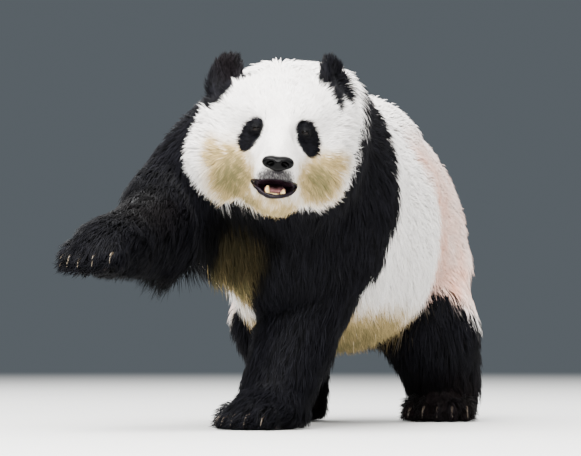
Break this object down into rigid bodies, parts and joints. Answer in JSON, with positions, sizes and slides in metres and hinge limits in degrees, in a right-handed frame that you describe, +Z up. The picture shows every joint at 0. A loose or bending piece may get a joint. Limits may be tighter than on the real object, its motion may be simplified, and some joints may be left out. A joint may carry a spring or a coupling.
{
  "type": "giant panda figure",
  "caption": "Life-size still figure of a giant panda standing on three legs with its right forepaw raised, its head turned a little left and its mouth open.",
  "frame": {"origin": "on the floor, at the middle of the bounding box in x and y", "axes": "+Z up, the body runs along Y with the head at -Y, and the animal's left side is at +X"},
  "size_m": [0.612, 1.501, 0.7439],
  "materials": {
    "white_coat": "dense matt fur, warm off-white",
    "black_coat": "dense fur, near black with a soft sheen",
    "nose": "moist black leather",
    "eye": "wet dark brown",
    "claw": "satin horn",
    "tooth": "satin yellowed enamel",
    "tongue": "wet pink",
    "throat": "wet dark red",
    "lip": "smooth, dark purple-black"
  },
  "bodies": {
    "root": {"canine_left": "tooth", "canine_right": "tooth", "claw_forepaw_left_1": "claw", "claw_forepaw_left_2": "claw", "claw_forepaw_left_3": "claw", "claw_forepaw_left_4": "claw", "claw_forepaw_left_5": "claw", "claw_forepaw_right_1": "claw", "claw_forepaw_right_2": "claw", "claw_forepaw_right_3": "claw", "claw_forepaw_right_4": "claw", "claw_forepaw_right_5": "claw", "claw_hind_foot_left_1": "claw", "claw_hind_foot_left_2": "claw", "claw_hind_foot_left_3": "claw", "claw_hind_foot_left_4": "claw", "claw_hind_foot_left_5": "claw", "claw_hind_foot_right_1": "claw", "claw_hind_foot_right_2": "claw", "claw_hind_foot_right_3": "claw", "claw_hind_foot_right_4": "claw", "claw_hind_foot_right_5": "claw", "ear_left": "black_coat", "ear_right": "black_coat", "eye_left": "eye", "eye_patch_left": "black_coat", "eye_patch_right": "black_coat", "eye_right": "eye", "foreleg_left_lower": "black_coat", "foreleg_left_upper": "black_coat", "foreleg_right_lower": "black_coat", "foreleg_right_upper": "black_coat", "forepaw_left": "black_coat", "forepaw_right": "black_coat", "head": "white_coat", "hind_foot_left": "black_coat", "hind_foot_right": "black_coat", "hind_leg_left_lower": "black_coat", "hind_leg_left_upper": "white_coat", "hind_leg_right_lower": "black_coat", "hind_leg_right_upper": "white_coat", "lips": "lip", "neck": "white_coat", "nose": "nose", "shoulders": "black_coat", "tail": "white_coat", "throat": "throat", "tongue": "tongue", "torso": "white_coat"}
  },
  "joints": []
}
